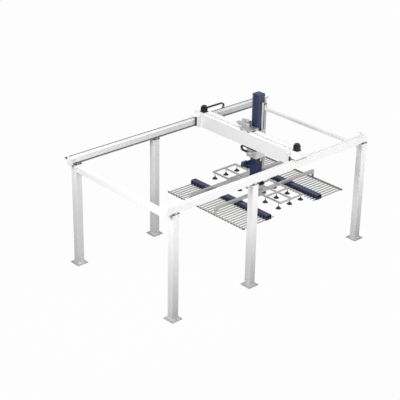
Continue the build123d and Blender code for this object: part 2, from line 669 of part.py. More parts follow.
def make_axis_drives():
    """Drives on the saddle: one pinion on the beam rack, one on the mast rack."""
    deck = SADDLE_Z + SADDLE_THICKNESS
    reach = 420.0
    size = 116.0
    x = CROSS_AXIS_X
    y = CROSS_AXIS_Y
    box = block(x - size / 2, x + size / 2, y - size / 2, y + 70, deck, deck + size + 8)
    box = chamfer(box.edges().filter_by(Axis.Y), 8)
    box -= rod(x, y, deck - 1, deck + 30, 42)
    cross_z = deck + size / 2 + 4
    cross = Pos(x, y + 70, cross_z) * Rot(-90, 0, 0) * servo(100, reach - y - 70 - 50, 50)
    wheel = pinion(AXIS_MODULE, AXIS_TEETH, 38, 180, 30)
    save("cross_pinion", [Pos(x, y, BEAM_TOP + 3) * wheel])
    shaft = hexagon(x, y, BEAM_TOP + 3, BEAM_TOP + 41, 30) + rod(x, y, BEAM_TOP + 41, deck + 26, 40)
    save("cross_shaft", [shaft])

    x = LIFT_AXIS_X
    z = LIFT_AXIS_Z
    face = 38.0
    y0 = MAST_RACK_Y - face / 2
    save("lift_pinion", [Pos(x, y0, z) * Rot(-90, 0, 0) * pinion(AXIS_MODULE, AXIS_TEETH, face, 0, 30)])
    shaft = Pos(x, y0, z) * Rot(-90, 0, 0) * hexagon(0, 0, 0, face, 30)
    shaft += rod_y(x, y0 + face, y0 + face + 50, z, 40)
    save("lift_shaft", [shaft])
    y1 = y0 + face + 14
    stand = block(x - 58, x + 40, y1, y1 + 16, deck, z + 58)
    stand += block(x - 58, x - 30, y1 + 16, y1 + 70, deck, deck + 12)
    stand -= rod_y(x, y1 - 1, y1 + 17, z, 42)
    save("lift_stand", [stand])
    y2 = y1 + 16
    unit = gearbox(100, 110) - Pos(0, 0, 12) * Cylinder(21, 30)
    unit = Pos(x, y2, z) * Rot(-90, 0, 0) * unit
    lift = Pos(x, y2 + 110, z) * Rot(-90, 0, 0) * servo(90, reach - y2 - 110 - 46, 46)
    save("axis_gearboxes", [box, unit])
    save("axis_motors", [cross, lift])


def make_cross_chain():
    """Chain loop hung under the beam."""
    loop = chain_loop(HUNG_CHAIN_WIDTH, HUNG_CHAIN_HEIGHT, HUNG_CHAIN_RADIUS, HUNG_CHAIN_UPPER,
                      HUNG_CHAIN_LOWER)
    place = Pos(HUNG_CHAIN_X, HUNG_CHAIN_START, HUNG_CHAIN_Z) * Rot(0, 0, 90)
    save("cross_chain", [place * piece for piece in loop])


def make_mast():
    """Mast tube with its end and motor plates, two rails and the lifting rack."""
    half = MAST_SIZE / 2
    inner = half - MAST_WALL
    tube = block(MAST_X - half, MAST_X + half, -half, half, MAST_BOTTOM + PLATE, MAST_TOP - PLATE)
    tube = fillet(tube.edges().filter_by(Axis.Z), 10)
    tube -= block(MAST_X - inner, MAST_X + inner, -inner, inner, MAST_BOTTOM, MAST_TOP)
    save("mast_tube", [tube])
    wide = half + 30
    low = block(MAST_X - wide, MAST_X + wide, -wide, wide, MAST_BOTTOM, MAST_BOTTOM + PLATE)
    high = block(MAST_X - half, MAST_X + half, -half, half, MAST_TOP - PLATE, MAST_TOP)
    plate = block(MAST_X - half, MAST_X + half - 40, half, half + GRIP_PLATE,
                  GRIP_MOTOR_Z - 95, GRIP_MOTOR_Z + 95)
    save("mast_plates", [low, high, plate])
    z0 = MAST_RAIL_START
    z1 = MAST_RAIL_END
    rails = []
    for side in SIDES:
        plane = Plane(origin=(MAST_RAIL_X, side * half, z0), x_dir=(side, 0, 0), z_dir=(0, 0, 1))
        rails.append(rail(plane, z1 - z0, MAST_RAIL))
    save("mast_rails", rails)
    plane = Plane(origin=(MAST_FRONT - AXIS_RACK_DEPTH, MAST_RACK_Y + AXIS_RACK_FACE / 2, LIFT_AXIS_Z),
                  x_dir=(0, 0, 1), z_dir=(0, -1, 0))
    teeth = rack(AXIS_MODULE, AXIS_RACK_BACK, AXIS_RACK_FACE, LIFT_AXIS_Z - z0,
                 MAST_TOP - PLATE - 10 - LIFT_AXIS_Z)
    save("mast_rack", [plane * teeth])


def make_grip_motor():
    """Geared motor lying along X on the left face of the mast."""
    start = MAST_SIZE / 2 + GRIP_PLATE
    z = GRIP_MOTOR_Z
    y = start + 62
    head = block(MAST_X - 70, MAST_X + 60, start, start + 124, z - 62, z + 62)
    head = chamfer(head.edges().filter_by(Axis.X), 10)
    barrel = rod_x(MAST_X - 330, MAST_X - 70, y, z, 116)
    cap = chamfer(rod_x(MAST_X - 372, MAST_X - 330, y, z, 104).edges().filter_by(GeomType.CIRCLE), 6)
    terminal = block(MAST_X - 260, MAST_X - 150, y - 45, y + 45, z + 50, z + 92)
    save("grip_motor", [head + barrel + cap + terminal])


def gx(value):
    """Gripper X measured from the mast centre."""
    return MAST_X + value


def make_arms():
    arms = []
    rails = []
    for y in (FRONT_ARM_Y, BACK_ARM_Y):
        arms.append(tube_x(gx(-ARM_HALF_LENGTH), gx(ARM_HALF_LENGTH), y, ARM_BOTTOM, ARM_SIZE, ARM_SIZE, 5))
        for side in SIDES:
            start = gx(side * (GUIDE_X + GUIDE_WIDTH / 2 + 12))
            end = gx(side * ARM_HALF_LENGTH)
            plane = Plane(origin=(min(start, end), y, ARM_BOTTOM), x_dir=(0, -1, 0), z_dir=(1, 0, 0))
            rails.append(rail(plane, abs(end - start), ARM_RAIL))
    save("gripper_arms", arms)
    save("arm_rails", rails)


def tine_positions():
    """Tine centres along Y."""
    return [GUIDE_CENTRE_Y + (index - (TINE_COUNT - 1) / 2) * TINE_PITCH for index in range(TINE_COUNT)]


def make_guides():
    """Guide bars hung under the arms, each with a slotted clamp guide for every tine."""
    bars = []
    guides = []
    half = GUIDE_WIDTH / 2
    grip = half + 22
    top = GUIDE_BOTTOM + GUIDE_HEIGHT
    low = TINE_Z - TINE_HEIGHT / 2 - TINE_GAP - 9
    for side in SIDES:
        x = gx(side * GUIDE_X)
        bar = tube_y(x, GUIDE_CENTRE_Y - GUIDE_HALF_LENGTH, GUIDE_CENTRE_Y + GUIDE_HALF_LENGTH, GUIDE_BOTTOM,
                     GUIDE_WIDTH, GUIDE_HEIGHT, 6)
        for y in (FRONT_ARM_Y, BACK_ARM_Y):
            bars.append(block(x - HANGER_LENGTH / 2, x + HANGER_LENGTH / 2, y - 35, y + 35, top, ARM_BOTTOM))
        bars.append(bar)
        for y in tine_positions():
            boss = block(x - grip, x + grip, y - 25, y + 25, low, GUIDE_BOTTOM + 40)
            boss -= block(x - half, x + half, y - 26, y + 26, GUIDE_BOTTOM, top)
            boss -= block(x - grip - 1, x + grip + 1, y - TINE_WIDTH / 2 - TINE_GAP,
                          y + TINE_WIDTH / 2 + TINE_GAP, TINE_Z - TINE_HEIGHT / 2 - TINE_GAP,
                          TINE_Z + TINE_HEIGHT / 2 + TINE_GAP)
            guides.append(boss)
    save("guide_bars", bars)
    save("tine_guides", guides)


def make_combs():
    """Left and right combs: outer bar on two legs with rail shoes, and the tines."""
    bar_z = TINE_Z
    for side, name in ((-1, "near"), (1, "far")):
        x = gx(side * COMB_X)
        half = COMB_BAR / 2
        frame = [block(x - half, x + half, GUIDE_CENTRE_Y - COMB_BAR_HALF_LENGTH,
                       GUIDE_CENTRE_Y + COMB_BAR_HALF_LENGTH, bar_z - 22, bar_z + 22)]
        shoes = []
        shoe_top = ARM_BOTTOM - 7
        shoe_low = ARM_BOTTOM - 40
        for y in (FRONT_ARM_Y, BACK_ARM_Y):
            frame.append(block(x - half, x + half, y - LEG_SIZE / 2, y + LEG_SIZE / 2, bar_z + 22, shoe_low))
            end = x + side * half
            plane = Plane(origin=(min(end, end - side * SHOE_LENGTH), y, ARM_BOTTOM), x_dir=(0, -1, 0),
                          z_dir=(1, 0, 0))
            shoes.append(bearing(plane, SHOE_LENGTH, ARM_RAIL, 62, ARM_BOTTOM - shoe_low, 7))
        save(f"comb_{name}_frame", frame)
        save(f"comb_{name}_shoes", shoes)
        inner = gx(side * TINE_TIP_X)
        tines = []
        for y in tine_positions():
            tine = block(inner, x - side * half, y - TINE_WIDTH / 2, y + TINE_WIDTH / 2,
                         TINE_Z - TINE_HEIGHT / 2, TINE_Z + TINE_HEIGHT / 2)
            tip = tine.faces().sort_by(Axis.X)[0 if side > 0 else -1].edges().filter_by(Axis.Y)
            tines.append(chamfer(tip, 7))
        save(f"comb_{name}_tines", tines)


def cup_points():
    """Centres of the suction cups."""
    return [(gx(column * SUCTION_X), SUCTION_CENTRE_Y + row) for column in (-1, 0, 1) for row in SUCTION_ROWS]


def make_suction_frame():
    """Ladder frame of square tube on the arms: long bars with a bush for every cup stem, and rungs."""
    reach = SUCTION_ROWS[-1] + 90
    y0 = SUCTION_CENTRE_Y - reach
    y1 = SUCTION_CENTRE_Y + reach
    half = FRAME_BAR / 2
    pieces = []
    for column in (-1, 0, 1):
        x = gx(column * SUCTION_X)
        bar = block(x - half, x + half, y0, y1, ARM_TOP, FRAME_TOP)
        for cup_x, y in cup_points():
            if cup_x == x:
                bar += rod(x, y, ARM_TOP - 22, FRAME_TOP + 4, BUSH_DIAMETER + 6)
                bar -= rod(x, y, ARM_TOP - 30, FRAME_TOP + 10, STEM_DIAMETER + 2 * STEM_GAP)
        pieces.append(bar)
    for side in SIDES:
        inner = gx(side * half)
        outer = gx(side * (SUCTION_X - half))
        for y in (y0 + half, FRAME_RUNG_Y[0], -150, 150, FRAME_RUNG_Y[1], y1 - half):
            pieces.append(block(inner, outer, y - half, y + half, ARM_TOP, FRAME_TOP))
        pieces.append(block(inner, gx(side * 130), half - 150, 150 - half, ARM_TOP, FRAME_TOP))
    save("suction_frame", pieces)


def make_cups():
    """Spring-loaded stems with a head resting on the bush, and the rubber cups."""
    stems = []
    cups = []
    radius = CUP_DIAMETER / 2
    body = [(12, 0), (radius - 8, 10 - CUP_HEIGHT), (radius, -CUP_HEIGHT), (radius - 4, -CUP_HEIGHT),
            (radius - 16, 10 - CUP_HEIGHT), (12, -18), (0, -18), (0, 0)]
    cup_top = CUP_LIP_Z + CUP_HEIGHT
    for x, y in cup_points():
        stem = rod(x, y, cup_top, FRAME_TOP + 4, STEM_DIAMETER)
        stem += rod(x, y, cup_top, cup_top + 14, 34)
        stem += rod(x, y, FRAME_TOP + 4, FRAME_TOP + 14, 30)
        stem += hexagon(x, y, FRAME_TOP + 14, FRAME_TOP + 26, 19)
        stems.append(stem)
        cone = revolve(Plane.XZ * make_face(Polyline(*body, close=True)), Axis.Z)
        cups.append(Pos(x, y, cup_top) * cone)
    save("cup_stems", stems)
    save("suction_cups", cups)


def make_manifold():
    """Vacuum manifold with its valve block on the centre of the suction frame."""
    y = -235.0
    body = block(gx(-90), gx(90), y - 50, y + 50, FRAME_TOP, FRAME_TOP + 46)
    body = chamfer(body.edges().filter_by(Axis.Z), 6)
    for dx in (-60, -20, 20, 60):
        body += rod(gx(dx), y - 30, FRAME_TOP + 46, FRAME_TOP + 62, 18)
        body += block(gx(dx - 14), gx(dx + 14), y - 10, y + 44, FRAME_TOP + 46, FRAME_TOP + 84)
    save("vacuum_manifold", [body])


make_columns()
make_base_plates()
make_cap_plates()
make_runways()
save("frame_bolts", make_runway_clamps() + make_ties())
make_runway_rails()
make_runway_racks()
make_end_stops()
make_tray()
make_cross_beam()
make_end_carriages()
make_bridge_drives()
make_bridge_chain()
make_carriage()
make_axis_drives()
make_cross_chain()
make_mast()
make_grip_motor()
make_arms()
make_guides()
make_combs()
make_suction_frame()
make_cups()
make_manifold()
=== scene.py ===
import json
import math

import bpy
import numpy as np
from mathutils import Matrix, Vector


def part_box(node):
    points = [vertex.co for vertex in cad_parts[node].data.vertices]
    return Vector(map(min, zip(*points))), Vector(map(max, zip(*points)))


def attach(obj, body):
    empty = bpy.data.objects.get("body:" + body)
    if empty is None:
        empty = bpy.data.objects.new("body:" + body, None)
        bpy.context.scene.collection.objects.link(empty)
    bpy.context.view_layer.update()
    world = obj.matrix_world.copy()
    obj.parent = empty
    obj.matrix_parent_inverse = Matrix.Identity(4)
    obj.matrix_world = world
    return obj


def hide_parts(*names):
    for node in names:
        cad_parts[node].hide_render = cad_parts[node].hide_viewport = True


bl_info = {
    "name": "Gantry robot looks",
    "version": (1, 0, 0),
    "blender": (4, 5, 0),
    "location": "3D View > Sidebar > Gantry robot",
    "description": "Finishes and fine detail for a sheet-metal gantry robot",
    "category": "Object",
}

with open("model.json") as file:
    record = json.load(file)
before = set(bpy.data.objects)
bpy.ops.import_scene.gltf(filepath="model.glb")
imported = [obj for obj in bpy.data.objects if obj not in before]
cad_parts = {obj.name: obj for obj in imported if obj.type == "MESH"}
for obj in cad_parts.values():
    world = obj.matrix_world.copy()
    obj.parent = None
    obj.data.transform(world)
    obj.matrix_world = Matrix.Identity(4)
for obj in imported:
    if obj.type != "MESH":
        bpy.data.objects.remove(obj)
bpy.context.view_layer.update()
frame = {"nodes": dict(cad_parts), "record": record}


# Sizes and counts of the CAD that are used beside its boxes, in metres

COLUMN_HALF = 0.100         # half the side of a column
COLUMN_CORNER = 0.012       # rounding of a column's edges
COLUMN_FOOT = 0.020         # top of the base plates
MIDDLE_COLUMN_X = -0.735    # middle of the second pair of columns
RUNWAY_RAIL_HALF = 0.017    # half the width of a rail on a runway
BEAM_RAIL_HALF = 0.015      # and of a rail on top of the beam
SECOND_BEAM_RAIL_X = 1.130  # middle of the beam's other top rail
BACK_RAIL_HALF = 0.013      # half the height of the rail behind the beam
COMB_BAR_HALF = 0.022       # half the height of a comb's outer bar
TINES = 28                  # tines in a comb
TINE_HALF = 0.015           # half the width of a tine
CUPS_ALONG = 6              # suction cups in a row; there are three rows
BRIDGE_LINK = 0.036         # height of a link of the chain on the runway
BRIDGE_LOWER_RUN = 0.42     # length of that chain under its bend
CROSS_LINK = 0.040          # height of a link of the chain beside the mast
CROSS_LOWER_RUN = 0.20      # length of that chain under its bend

# Colours laid over the paints

DUST = (0.52, 0.50, 0.47, 1.0)
CASTING_DUST = (0.42, 0.40, 0.38, 1.0)
GRIME = (0.23, 0.21, 0.19, 1.0)
BLOOM = (0.22, 0.21, 0.20, 1.0)
RUBBED_PLASTIC = (0.14, 0.14, 0.14, 1.0)
BARE_STEEL = (0.60, 0.60, 0.60, 1.0)
PRIMER = (0.42, 0.40, 0.38, 1.0)

# Stage: metres, degrees, millimetres of lens and watts

FLOOR_LEVEL = -0.002
FLOOR_REACH = 60.0
FLOOR_SQUARES = 24
CAMERA_PLACE = (-20.635, -21.672, 15.861)
CAMERA_ANGLES = (-42.494, 25.5194, 1.041)  # azimuth, elevation and roll
CAMERA_LENS = 106.07
CAMERA_SENSOR = 36.0
LAMPS = (  # name, power, place, point lit, width, height
    ("key", 740.0, (-8.5, -0.8, 7.6), (0.6, -0.4, 2.9), 5.0, 3.0),
    ("side", 170.0, (0.5, -4.0, 2.8), (0.5, 0.0, 2.4), 12.0, 3.0),
    ("top", 1250.0, (1.0, 0.0, 14.0), (0.5, 0.0, 3.0), 10.0, 10.0),
)


# Node helpers

class Shader:
    """Small builder for the node tree of one material."""

    def __init__(self, name):
        self.material = bpy.data.materials.new(name)
        self.material.use_nodes = True
        self.tree = self.material.node_tree
        self.bsdf = self.tree.nodes["Principled BSDF"]
        self.coords = self.tree.nodes.new("ShaderNodeTexCoord").outputs["Object"]
        self.geometry = self.tree.nodes.new("ShaderNodeNewGeometry")

    def link(self, value, socket):
        """Join an output to a socket, or set a constant on it."""
        if isinstance(value, bpy.types.NodeSocket):
            self.tree.links.new(value, socket)
        else:
            socket.default_value = value

    def stretched(self, scale):
        """Object coordinates scaled differently along each axis."""
        node = self.tree.nodes.new("ShaderNodeMapping")
        node.inputs["Scale"].default_value = scale
        self.link(self.coords, node.inputs["Vector"])
        return node.outputs["Vector"]

    def noise(self, scale, detail, roughness, vector=None):
        """Noise in metres: a scale of 1000 gives grains about a millimetre across."""
        node = self.tree.nodes.new("ShaderNodeTexNoise")
        self.link(vector or self.coords, node.inputs["Vector"])
        node.inputs["Scale"].default_value = scale
        node.inputs["Detail"].default_value = detail
        node.inputs["Roughness"].default_value = roughness
        return node.outputs["Fac"]

    def cells(self, scale):
        """Distance to the nearest point of a cell pattern."""
        node = self.tree.nodes.new("ShaderNodeTexVoronoi")
        self.link(self.coords, node.inputs["Vector"])
        node.inputs["Scale"].default_value = scale
        return node.outputs["Distance"]

    def spread(self, value, low, high, to_low=0.0, to_high=1.0):
        """Map a value from one range to another and clamp it."""
        node = self.tree.nodes.new("ShaderNodeMapRange")
        self.link(value, node.inputs["Value"])
        node.inputs["From Min"].default_value = low
        node.inputs["From Max"].default_value = high
        node.inputs["To Min"].default_value = to_low
        node.inputs["To Max"].default_value = to_high
        return node.outputs["Result"]

    def math(self, operation, first, second):
        """One arithmetic step."""
        node = self.tree.nodes.new("ShaderNodeMath")
        node.operation = operation
        self.link(first, node.inputs[0])
        self.link(second, node.inputs[1])
        return node.outputs[0]

    def mix(self, factor, first, second):
        """Blend two colours."""
        node = self.tree.nodes.new("ShaderNodeMix")
        node.data_type = "RGBA"
        self.link(factor, node.inputs["Factor"])
        self.link(first, node.inputs[6])
        self.link(second, node.inputs[7])
        return node.outputs[2]

    def third(self, vector):
        """Third component of a vector."""
        node = self.tree.nodes.new("ShaderNodeSeparateXYZ")
        self.link(vector, node.inputs[0])
        return node.outputs["Z"]

    def facing_up(self):
        """Mask that is 1 on faces that look up."""
        return self.spread(self.third(self.geometry.outputs["Normal"]), 0.6, 0.95)

    def edges(self, radius):
        """Rounded normal and a mask that is 1 along sharp edges."""
        node = self.tree.nodes.new("ShaderNodeBevel")
        node.samples = 4
        node.inputs["Radius"].default_value = radius
        dot = self.tree.nodes.new("ShaderNodeVectorMath")
        dot.operation = "DOT_PRODUCT"
        self.link(node.outputs["Normal"], dot.inputs[0])
        self.link(self.geometry.outputs["Normal"], dot.inputs[1])
        return node.outputs["Normal"], self.spread(dot.outputs["Value"], 0.995, 0.86)

    def bump(self, height, distance, strength, normal):
        """Bump of a pattern whose full height is a distance in metres."""
        node = self.tree.nodes.new("ShaderNodeBump")
        node.inputs["Strength"].default_value = strength
        node.inputs["Distance"].default_value = distance
        self.link(height, node.inputs["Height"])
        self.link(normal, node.inputs["Normal"])
        return node.outputs["Normal"]

    def finish(self, colour, roughness, normal, metallic=0.0, coat=0.0, specular=0.5):
        """Set the surface and return the material."""
        self.link(colour, self.bsdf.inputs["Base Color"])
        self.link(roughness, self.bsdf.inputs["Roughness"])
        self.link(normal, self.bsdf.inputs["Normal"])
        self.link(metallic, self.bsdf.inputs["Metallic"])
        self.link(coat, self.bsdf.inputs["Coat Weight"])
        self.link(specular, self.bsdf.inputs["Specular IOR Level"])
        return self.material


def shade(colour, factor):
    """Colour scaled by a factor, with full alpha."""
    return (colour[0] * factor, colour[1] * factor, colour[2] * factor, 1.0)


def lighter(colour, factor, lift=0.0):
    """Colour scaled and lifted, held at white, with full alpha."""
    return tuple(min(1.0, part * factor + lift) for part in colour) + (1.0,)


def paint(name, colour, roughness, worn, wear, grime=0.0):
    """Powder coat: cloudy tone, orange peel, dust on top, scuffs by the floor, chipped edges."""
    s = Shader(name)
    cloud = s.spread(s.noise(1.7, 4.0, 0.6), 0.3, 0.7)
    tone = s.mix(cloud, shade(colour, 0.965), shade(colour, 1.0))
    streak = s.spread(s.noise(1.0, 5.0, 0.6, s.stretched((22.0, 22.0, 1.6))), 0.58, 0.8)
    tone = s.mix(s.math("MULTIPLY", streak, 0.12), tone, shade(colour, 0.72))
    patches = s.spread(s.noise(26.0, 6.0, 0.7), 0.35, 0.75, 0.0, 0.10)
    tone = s.mix(s.math("MULTIPLY", s.facing_up(), patches), tone, DUST)
    if grime:
        low = s.spread(s.third(s.coords), 0.02, 0.42, 1.0, 0.0)
        scuff = s.spread(s.noise(9.0, 8.0, 0.72), 0.42, 0.72, 0.0, grime)
        tone = s.mix(s.math("MULTIPLY", low, scuff), tone, GRIME)
    normal, edge = s.edges(0.004)
    chips = s.math("MULTIPLY", edge, s.spread(s.noise(60.0, 8.0, 0.75), 0.50, 0.60, 0.0, wear))
    tone = s.mix(chips, tone, worn)
    rough = s.spread(s.noise(7.0, 5.0, 0.6), 0.2, 0.8, roughness - 0.07, roughness + 0.08)
    peel = s.math("ADD", s.noise(260.0, 2.0, 0.5), s.math("MULTIPLY", chips, -1.6))
    return s.finish(tone, rough, s.bump(peel, 0.00025, 0.8, normal), coat=0.12)


def metal(name, colour, roughness, grain, stain, edge_highlight=1.25, metallic=1.0):
    """Machined metal: drawn grain along one axis, faint stains, edges painted brighter as a
    highlight.
    """
    s = Shader(name)
    lines = s.noise(1.0, 6.0, 0.65, s.stretched(grain))
    tone = s.mix(s.spread(lines, 0.25, 0.75), shade(colour, 0.86), shade(colour, 1.06))
    spots = s.spread(s.noise(11.0, 6.0, 0.7), 0.5, 0.75, 0.0, stain)
    tone = s.mix(spots, tone, shade(colour, 0.45))
    normal, edge = s.edges(0.0025)
    # Painted highlight: every sharp edge is lightened towards a brighter copy of the metal's
    # colour
    tone = s.mix(s.math("MULTIPLY", edge, 0.6), tone, lighter(colour, edge_highlight))
    rough = s.spread(lines, 0.2, 0.8, roughness - 0.09, roughness + 0.11)
    return s.finish(tone, rough, s.bump(lines, 0.00012, 0.7, normal), metallic)


def cast(name, colour, roughness, dust_share=0.25):
    """Satin painted casting: pebbled skin, softly rubbed edges, dust on top."""
    s = Shader(name)
    cloud = s.spread(s.noise(5.0, 4.0, 0.6), 0.3, 0.7)
    tone = s.mix(cloud, shade(colour, 0.85), shade(colour, 1.1))
    normal, edge = s.edges(0.003)
    rub = s.math("MULTIPLY", edge, s.spread(s.noise(45.0, 6.0, 0.7), 0.45, 0.65, 0.05, 0.5))
    tone = s.mix(rub, tone, lighter(colour, 2.2, 0.10))
    patches = s.spread(s.noise(30.0, 6.0, 0.7), 0.35, 0.75, 0.0, dust_share)
    tone = s.mix(s.math("MULTIPLY", s.facing_up(), patches), tone, CASTING_DUST)
    rough = s.spread(s.noise(12.0, 5.0, 0.6), 0.2, 0.8, roughness - 0.08, roughness + 0.1)
    return s.finish(tone, rough, s.bump(s.cells(520.0), 0.0003, 0.5, normal), specular=0.2)


def moulded(name, colour, roughness, grain, bloom):
    """Moulded plastic or rubber: fine grain, grey bloom, soft rubbed edges."""
    s = Shader(name)
    fine = s.noise(grain, 3.0, 0.6)
    cloud = s.spread(s.noise(8.0, 5.0, 0.6), 0.3, 0.75)
    tone = s.mix(cloud, shade(colour, 0.8), shade(colour, 1.25))
    haze = s.spread(s.noise(22.0, 7.0, 0.7), 0.48, 0.78, 0.0, bloom)
    tone = s.mix(haze, tone, BLOOM)
    normal, edge = s.edges(0.0015)
    tone = s.mix(s.math("MULTIPLY", edge, 0.35), tone, RUBBED_PLASTIC)
    rough = s.spread(fine, 0.2, 0.8, roughness - 0.06, roughness + 0.08)
    return s.finish(tone, rough, s.bump(fine, 0.0002, 0.6, normal), specular=0.3)


# Mesh helpers

def add_piece(name, points, faces, material, body, slot, smooth=False, parts=None):
    """Make an object from points and faces, give it a material and let it ride on a body."""
    mesh = bpy.data.meshes.new(name)
    mesh.from_pydata([tuple(p) for p in points], [], faces)
    mesh.materials.append(material)
    mesh.polygons.foreach_set("use_smooth", [smooth] * len(mesh.polygons))
    mesh.update()
    piece = bpy.data.objects.new(name, mesh)
    bpy.context.scene.collection.objects.link(piece)
    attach(piece, body)
    if parts:
        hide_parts(*parts)
    return piece


def join(shapes):
    """Join (points, faces) pairs into one."""
    points = []
    faces = []
    for own_points, own_faces in shapes:
        start = len(points)
        points.extend(own_points)
        faces.extend([tuple(index + start for index in face) for face in own_faces])
    return points, faces


def loft(rings, closed=False):
    """Skin over equal rings of points, joined end to end or capped at both ends."""
    count = len(rings[0])
    points = [tuple(p) for ring in rings for p in ring]
    faces = []
    for row in range(len(rings) if closed else len(rings) - 1):
        low = row * count
        high = ((row + 1) % len(rings)) * count
        for col in range(count):
            nxt = (col + 1) % count
            faces.append((low + col, low + nxt, high + nxt, high + col))
    if not closed:
        faces.append(tuple(reversed(range(count))))
        faces.append(tuple(range((len(rings) - 1) * count, len(rings) * count)))
    return points, faces


def lathe(profile, centre, segments):
    """Turn a profile of (radius, height) about a vertical line.

    A point at an angle a is (radius cos a, radius sin a, height) from the centre. The first and
    the last point of the profile lie on the line and close the shape.
    """
    angles = np.linspace(0.0, 2 * math.pi, segments, endpoint=False)
    points = [(centre[0], centre[1], centre[2] + profile[0][1])]
    for radius, height in profile[1:-1]:
        for angle in angles:
            points.append((centre[0] + radius * math.cos(angle),
                           centre[1] + radius * math.sin(angle), centre[2] + height))
    points.append((centre[0], centre[1], centre[2] + profile[-1][1]))
    last = len(points) - 1
    faces = []
    rings = len(profile) - 2
    for col in range(segments):
        nxt = (col + 1) % segments
        faces.append((0, 1 + col, 1 + nxt))
        for row in range(rings - 1):
            low = 1 + row * segments
            high = low + segments
            faces.append((low + col, high + col, high + nxt, low + nxt))
        low = 1 + (rings - 1) * segments
        faces.append((last, low + nxt, low + col))
    return points, faces


def prism(outline, low, high, bevel):
    """Rings of a flat plate, as (x, level, z), its outline scaled by 1 - bevel at both rims."""
    centre = np.mean(outline, axis=0)
    inner = centre + (np.asarray(outline) - centre) * (1 - bevel)
    layers = [(inner, low), (outline, low + 0.0006), (outline, high - 0.0006), (inner, high)]
    return [[(x, level, z) for x, z in shape] for shape, level in layers]


def cup_profile(p):
    """Section of a suction cup, as (radius, height) from its crown to the roof of its hollow.

    With t from 0 to 1 down the wall, the outer radius grows from the neck to the lip as
    (1 - cos(t pi / 2)) to the power 0.8, with two shallow folds that follow t sin(4 pi t).
    The height falls as t to the power 0.85. The hollow runs back up parallel to the wall.
    """
    t = np.linspace(0.0, 1.0, 15)
    neck = 0.011
    crown = 0.004
    outer = neck + (p.radius - 0.003 - neck) * (1 - np.cos(t * math.pi / 2)) ** 0.8
    outer += 0.0012 * np.sin(t * 4 * math.pi) * t
    fall = -crown - (p.height - 2 * crown) * t ** 0.85
    profile = [(0.0, 0.0), (neck * 0.8, 0.0), (neck, -0.0015)]
    profile += list(zip(outer, fall))
    profile += [(p.radius - 0.0008, -p.height + 0.0022), (p.radius, -p.height + 0.0010),
                (p.radius - 0.0012, -p.height), (p.radius - p.wall, -p.height + 0.0008)]
    inner = outer[::-1] - p.wall * 1.3
    rise = fall[::-1] - p.wall * 0.8
    profile += [(max(r, 0.004), z) for r, z in zip(inner[1:-4], rise[1:-4])]
    profile += [(0.003, rise[-5]), (0.0, rise[-5])]
    return profile


def chain_path(start, upper, radius, lower, pitch):
    """Centres and angles of links at even steps of length along a chain, and the step.

    The chain is a straight upper run, a half circle of the radius and a straight lower run back.
    """
    bend = math.pi * radius
    total = upper + bend + lower
    count = int(round(total / pitch))
    step = total / count
    places = []
    for index in range(count):
        s = (index + 0.5) * step
        if s < upper:
            places.append((start[0] + s, start[1], 0.0))
        elif s < upper + bend:
            turn = (s - upper) / radius
            places.append((start[0] + upper + radius * math.sin(turn),
                           start[1] - radius + radius * math.cos(turn), -turn))
        else:
            back = s - upper - bend
            places.append((start[0] + upper - back, start[1] - 2 * radius, -math.pi))
    return places, step


def chain_links(p, run, levels, width, height, lower, pitch):
    """Points and faces of a chain that fills a box, as (along the run, across, up).

    Each link has two side plates, whose outline is a slot with two half-round ends squeezed to
    0.8, and two cross bars with a six-sided section. Every other link is set inwards, so the
    plates lap.
    """
    radius = (levels[1] - levels[0] - height) / 2
    upper = run[1] - run[0] - radius - height / 2
    places, step = chain_path((run[0], levels[1] - height / 2), upper, radius, lower, pitch)
    half = height / 2 - 0.001
    reach = step / 2 - half * 0.35
    angles = np.linspace(-math.pi / 2, math.pi / 2, 7)
    plate = [(reach + half * 0.8 * math.cos(a), half * math.sin(a)) for a in angles]
    plate += [(-reach + half * 0.8 * math.cos(a + math.pi), half * math.sin(a + math.pi))
              for a in angles]
    bars = [[(-0.011, offset * half - 0.0022), (0.011, offset * half - 0.0022),
             (0.013, offset * half), (0.011, offset * half + 0.0012 * offset),
             (-0.011, offset * half + 0.0012 * offset), (-0.013, offset * half)]
            for offset in (-1, 1)]
    bar_half = width / 2 - p.plate - 0.001
    shapes = []
    for number, (along, level, turn) in enumerate(places):
        inset = 0.0 if number % 2 else p.plate * 0.9
        c, s = math.cos(turn), math.sin(turn)
        turned, *turned_bars = [[(along + x * c - z * s, level + x * s + z * c) for x, z in shape]
                                for shape in (plate, *bars)]
        for side in (-1, 1):
            skins = (side * (width / 2 - inset), side * (width / 2 - inset - p.plate))
            shapes.append(loft(prism(turned, min(skins), max(skins), 0.04)))
        shapes += [loft(prism(bar, -bar_half, bar_half, 0.05)) for bar in turned_bars]
    return join(shapes)


def column_outline(count):
    """Points, outward directions and lengths of arc at even steps round a column.

    The outline is a square whose corners are quarter circles, walked at equal steps of length.
    The outward direction is the tangent, from a point's two neighbours, turned by 90 degrees.
    """
    outline = []
    for quarter in range(4):
        base = quarter * math.pi / 2 + math.pi / 4
        cx = math.copysign(COLUMN_HALF - COLUMN_CORNER, math.cos(base))
        cy = math.copysign(COLUMN_HALF - COLUMN_CORNER, math.sin(base))
        for angle in np.linspace(0.0, math.pi / 2, 5):
            a = quarter * math.pi / 2 + angle
            outline.append((cx + COLUMN_CORNER * math.cos(a), cy + COLUMN_CORNER * math.sin(a)))
    outline = np.array(outline + outline[:1])
    sides = np.linalg.norm(np.diff(outline, axis=0), axis=1)
    lengths = np.concatenate([[0.0], np.cumsum(sides)])
    s = np.linspace(0.0, lengths[-1], count, endpoint=False)
    path = np.stack([np.interp(s, lengths, outline[:, i]) for i in (0, 1)], axis=1)
    tangent = np.roll(path, -1, axis=0) - np.roll(path, 1, axis=0)
    tangent /= np.linalg.norm(tangent, axis=1)[:, None]
    outward = np.stack([tangent[:, 1], -tangent[:, 0]], axis=1)
    return path, outward, s


